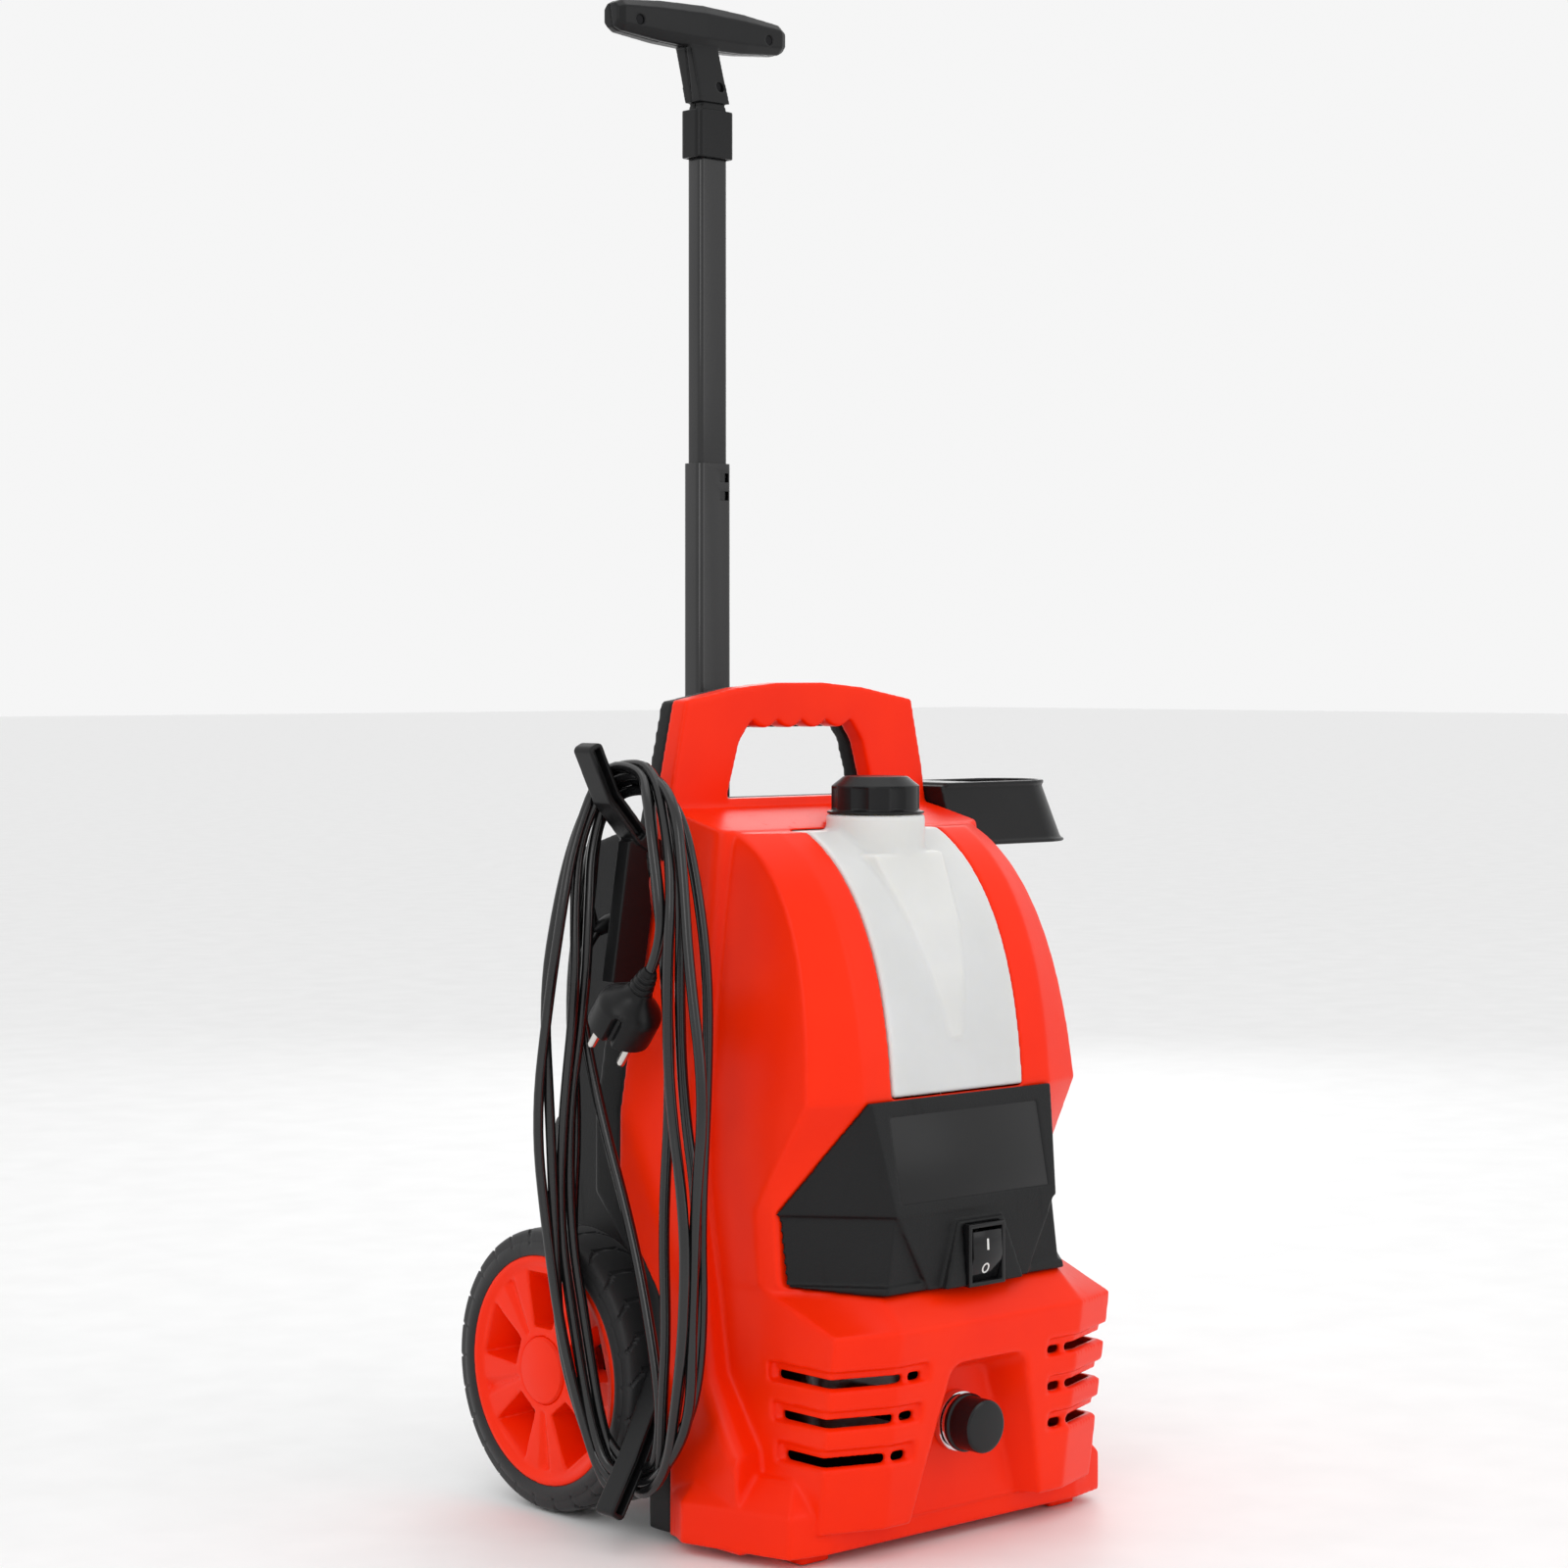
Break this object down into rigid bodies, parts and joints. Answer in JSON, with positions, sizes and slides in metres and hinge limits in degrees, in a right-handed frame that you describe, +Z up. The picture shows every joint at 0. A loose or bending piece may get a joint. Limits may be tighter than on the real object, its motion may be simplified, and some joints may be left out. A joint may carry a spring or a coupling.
{
  "type": "pressure washer",
  "caption": "Upright wheeled mains pressure washer with telescopic pull handle, detergent tank, rocker switch, cable hooks and lance holder.",
  "frame": {"origin": "on the floor under the centre of the machine's overall box, the mains lead left out", "axes": "+Z up, -Y out of the front with the switch and outlet, +X to the right of someone facing the front"},
  "size_m": [0.3892, 0.306, 0.8765],
  "materials": {
    "red_abs": "satin moulded ABS",
    "black_casing": "fine grained moulded plastic",
    "black_trim": "satin moulded plastic",
    "panel_blank": "smooth satin sheet",
    "tank_white": "milky polyethylene",
    "switch_black": "gloss",
    "chrome_brass": "plated",
    "tyre_rubber": "matt",
    "black_tube": "gloss powder coat",
    "steel": "bright zinc",
    "pump_alloy": "cast",
    "motor_iron": "laminated steel",
    "cord_pvc": "satin PVC",
    "gasket_rubber": "matt"
  },
  "bodies": {
    "machine": {"front_shell": "red_abs", "rear_shell": "black_casing", "control_panel": "black_casing", "panel_plate": "panel_blank", "switch_bezel": "switch_black", "detergent_tank": "tank_white", "outlet_coupling": "chrome_brass", "pump_head": "pump_alloy", "pistons": "steel", "piston_springs": "steel", "detergent_hose": "gasket_rubber", "inlet_hose": "gasket_rubber", "motor_stator": "motor_iron", "lower_end_shield": "pump_alloy", "upper_end_shield": "pump_alloy", "lower_bearing": "steel", "upper_bearing": "steel", "wheel_axle": "steel", "axle_washers": "steel", "axle_lock_nuts": "steel", "handle_guide": "black_trim", "upper_cable_hook": "black_trim", "lower_cable_hook": "black_trim", "gun_holder": "black_trim", "water_inlet": "black_trim", "pressure_switch_box": "black_trim", "motor_capacitor": "black_trim", "casing_screws": "steel", "cord_hank": "cord_pvc", "cord_lead": "cord_pvc", "cord_tail": "cord_pvc", "cord_gland": "black_trim", "plug_body": "black_trim", "plug_pins": "steel"},
    "left_wheel": {"left_wheel_rim": "red_abs", "left_tyre": "tyre_rubber", "left_hub_cap": "red_abs"},
    "right_wheel": {"right_wheel_rim": "red_abs", "right_tyre": "tyre_rubber", "right_hub_cap": "red_abs"},
    "handle_lower": {"handle_outer_tube": "black_tube"},
    "handle_upper": {"handle_inner_tube": "black_tube", "handle_lock_button": "black_trim", "handle_collar": "black_trim", "grip_front_half": "black_trim", "grip_rear_half": "black_trim", "grip_screws": "steel"},
    "rocker": {"switch_rocker": "switch_black"},
    "cap": {"tank_cap": "black_trim", "cap_gasket": "gasket_rubber"},
    "dust_cap": {"outlet_dust_cap": "black_trim"},
    "rotor": {"rotor_core": "motor_iron", "rotor_shaft": "steel", "cooling_fan": "black_trim", "wobble_plate": "steel"}
  },
  "joints": [
    {"name": "left_wheel_spin", "type": "hinge", "parent": "machine", "child": "left_wheel", "pos_m": [-0.14346, 0.073, 0.08], "axis": [1, 0, 0], "continuous": true},
    {"name": "right_wheel_spin", "type": "hinge", "parent": "machine", "child": "right_wheel", "pos_m": [0.09454, 0.073, 0.08], "axis": [1, 0, 0], "continuous": true},
    {"name": "handle_lower_slide", "type": "slide", "parent": "machine", "child": "handle_lower", "axis": [0, 0, 1], "range_m": [-0.176, 0]},
    {"name": "handle_upper_slide", "type": "slide", "parent": "handle_lower", "child": "handle_upper", "axis": [0, 0, 1], "range_m": [-0.178, 0]},
    {"name": "switch_tilt", "type": "hinge", "parent": "machine", "child": "rocker", "pos_m": [-0.02446, -0.139, 0.159], "axis": [-1, 0, 0], "range_deg": [0, 16]},
    {"name": "tank_cap_turn", "type": "hinge", "parent": "machine", "child": "cap", "pos_m": [-0.02446, -0.0585, 0.397], "axis": [0, 0, 1], "range_deg": [0, 360]},
    {"name": "dust_cap_pull", "type": "slide", "parent": "machine", "child": "dust_cap", "axis": [0, -1, 0], "range_m": [0, 0.03]},
    {"name": "rotor_spin", "type": "hinge", "parent": "machine", "child": "rotor", "pos_m": [-0.02446, -0.007, 0.2], "axis": [0, 0, 1], "continuous": true}
  ]
}
